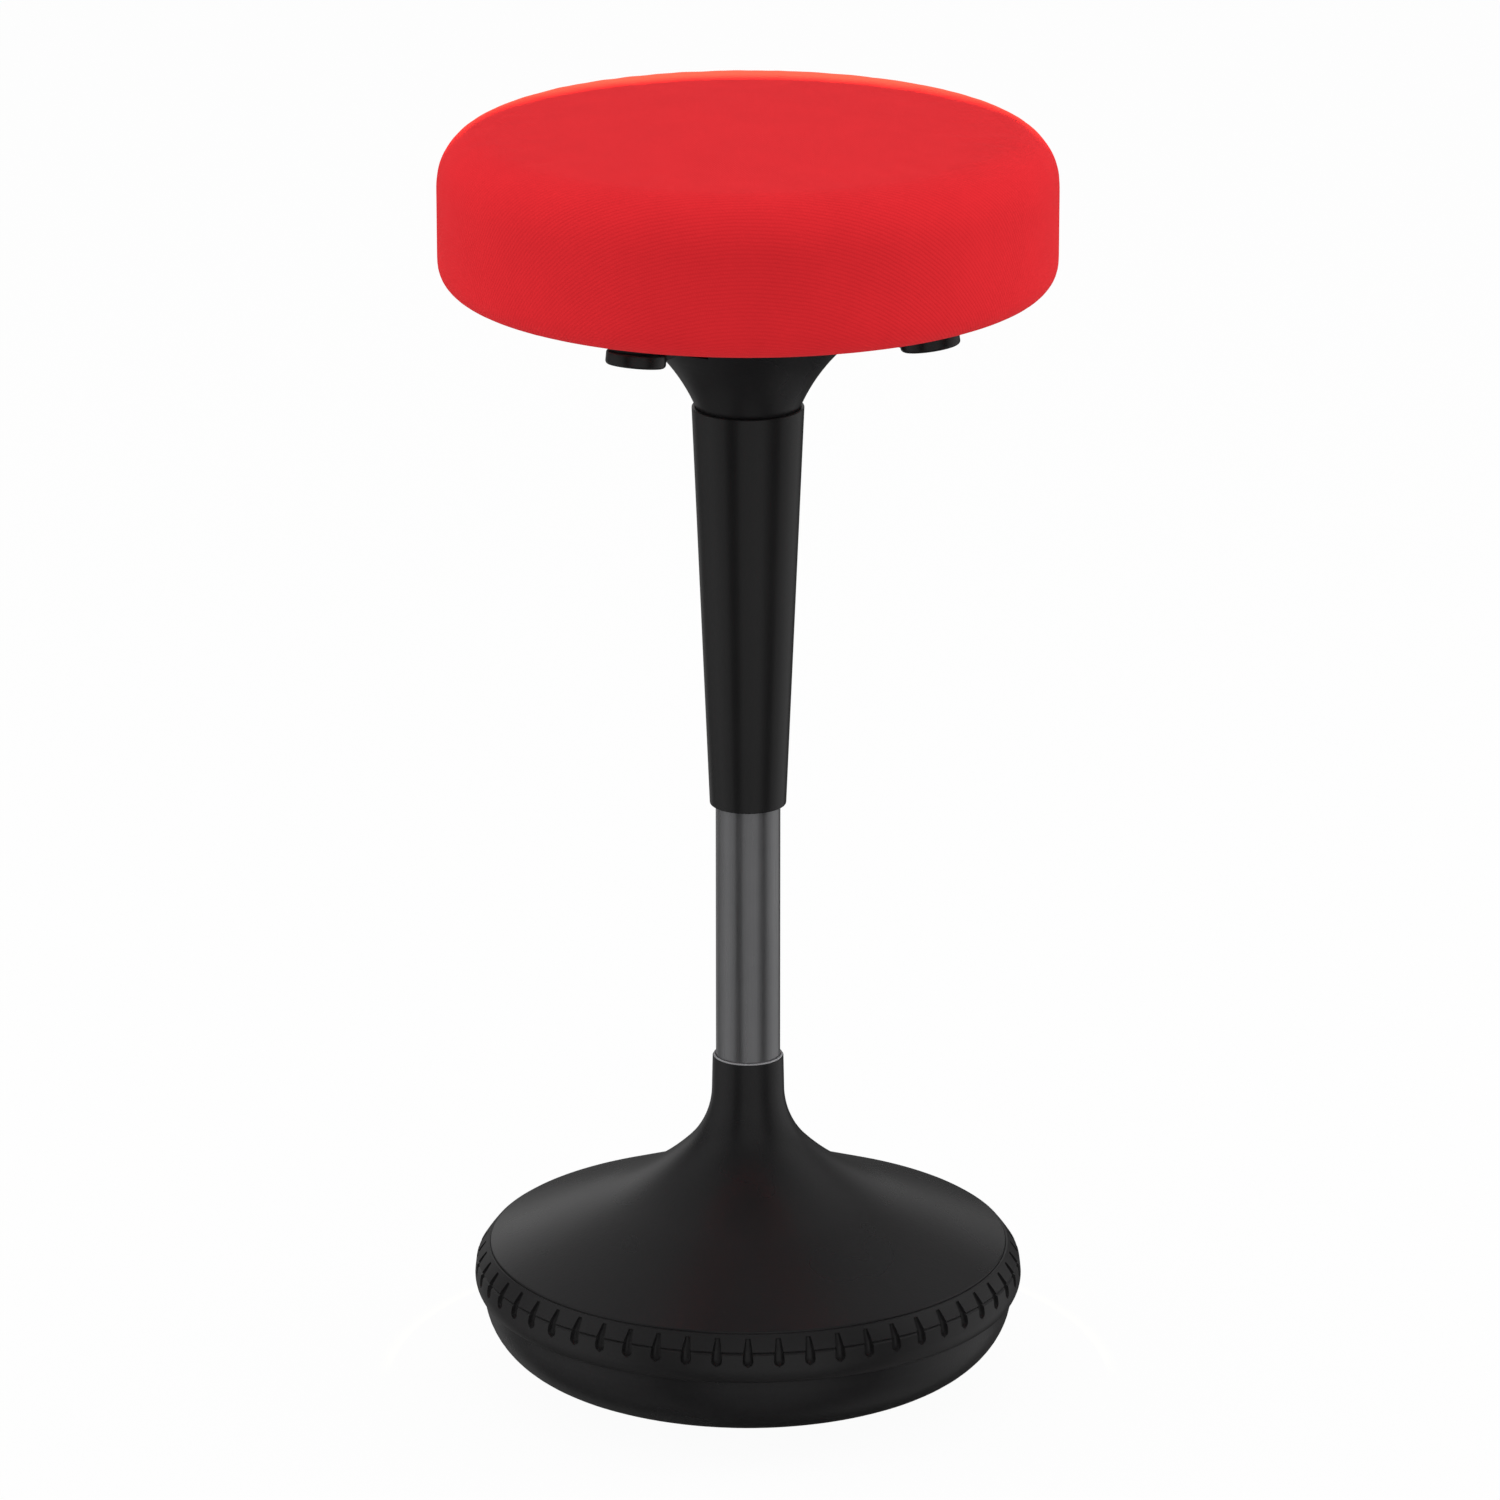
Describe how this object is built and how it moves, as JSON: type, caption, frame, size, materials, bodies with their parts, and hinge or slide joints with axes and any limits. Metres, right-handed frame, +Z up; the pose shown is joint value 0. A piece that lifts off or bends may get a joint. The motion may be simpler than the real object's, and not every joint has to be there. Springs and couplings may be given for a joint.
{
  "type": "wobble stool",
  "caption": "Height-adjustable wobble stool: round padded red seat on a gas lift with tapered sleeve, weighted rocking base with rubber bumper ring, lift-up release lever under the seat.",
  "frame": {"origin": "centre of the sole on the floor, under the stool's axis", "axes": "+Z up along the lift's axis, -Y towards the front of the picture"},
  "size_m": [0.34, 0.34, 0.7315],
  "materials": {
    "red_fabric": "red knitted polyester seat fabric",
    "black_nonwoven": "black non-woven dust cloth under the seat",
    "foam": "moulded seat foam",
    "plywood": "birch plywood",
    "black_shell": "satin black moulded plastic",
    "black_satin": "semi-gloss black moulded plastic",
    "black_rubber": "black moulded rubber",
    "grey_tube": "brushed grey coated steel tube",
    "black_steel": "black coated steel",
    "zinc_steel": "bright zinc-plated steel",
    "chrome_rod": "hard-chromed steel",
    "cast_iron": "grey cast iron",
    "white_nylon": "natural nylon"
  },
  "bodies": {
    "base": {"base_bowl": "black_shell", "sole_pad": "black_rubber", "counterweight": "cast_iron", "counterweight_screws": "zinc_steel", "base_plate": "black_steel", "plate_bolts": "zinc_steel", "column_socket": "black_steel", "bumper_ring": "black_rubber", "base_dome": "black_shell", "standing_tube": "grey_tube", "guide_sleeve": "white_nylon", "neck_liner": "black_satin", "tube_floor": "zinc_steel", "lower_race": "chrome_rod", "bearing_balls": "chrome_rod", "ball_cage": "white_nylon"},
    "spindle": {"piston_rod": "chrome_rod", "upper_race": "chrome_rod", "rod_buffer": "black_rubber", "rod_washer": "zinc_steel", "rod_clip": "zinc_steel", "piston": "white_nylon", "piston_seal": "black_rubber"},
    "seat": {"gas_cylinder": "black_steel", "pressure_tube": "zinc_steel", "rod_guide": "white_nylon", "rod_seal": "black_rubber", "valve_body": "zinc_steel", "tapered_sleeve": "black_satin", "sleeve_collar": "black_shell", "funnel_cover": "black_shell", "taper_hub": "black_steel", "mechanism_pan": "black_steel", "fulcrum_ring": "black_steel", "seat_plate": "black_steel", "seat_bolts": "zinc_steel", "tee_nuts": "zinc_steel", "seat_board": "plywood", "foam_cushion": "foam", "fabric_cover": "red_fabric", "dust_cover": "black_nonwoven", "hem_staples": "zinc_steel"},
    "lever": {"lever_spider": "black_steel", "lever_pad_front_left": "black_satin", "lever_pad_front_right": "black_satin", "lever_pad_back_right": "black_satin", "lever_pad_back_left": "black_satin"},
    "button": {"valve_button": "zinc_steel"}
  },
  "joints": [
    {"name": "seat_swivel", "type": "hinge", "parent": "base", "child": "spindle", "pos_m": [0, 0, 0.05], "axis": [0, 0, 1], "continuous": true},
    {"name": "height_slide", "type": "slide", "parent": "spindle", "child": "seat", "axis": [0, 0, 1], "range_m": [-0.135, 0]},
    {"name": "lever_lift", "type": "hinge", "parent": "seat", "child": "lever", "pos_m": [-0.01771, -0.02902, 0.6243], "axis": [-0.8536, 0.521, 0], "range_deg": [0, 4.5], "stiffness_Nm_per_rad": 5, "springref_deg": -11.46},
    {"name": "button_press", "type": "slide", "parent": "seat", "child": "button", "axis": [0, 0, -1], "range_m": [0, 0.0028], "stiffness_N_per_m": 500, "springref_m": -0.002}
  ],
  "couplings": [
    {"joint": "button_press", "follows": "lever_lift", "m_per_rad": 0.034}
  ]
}
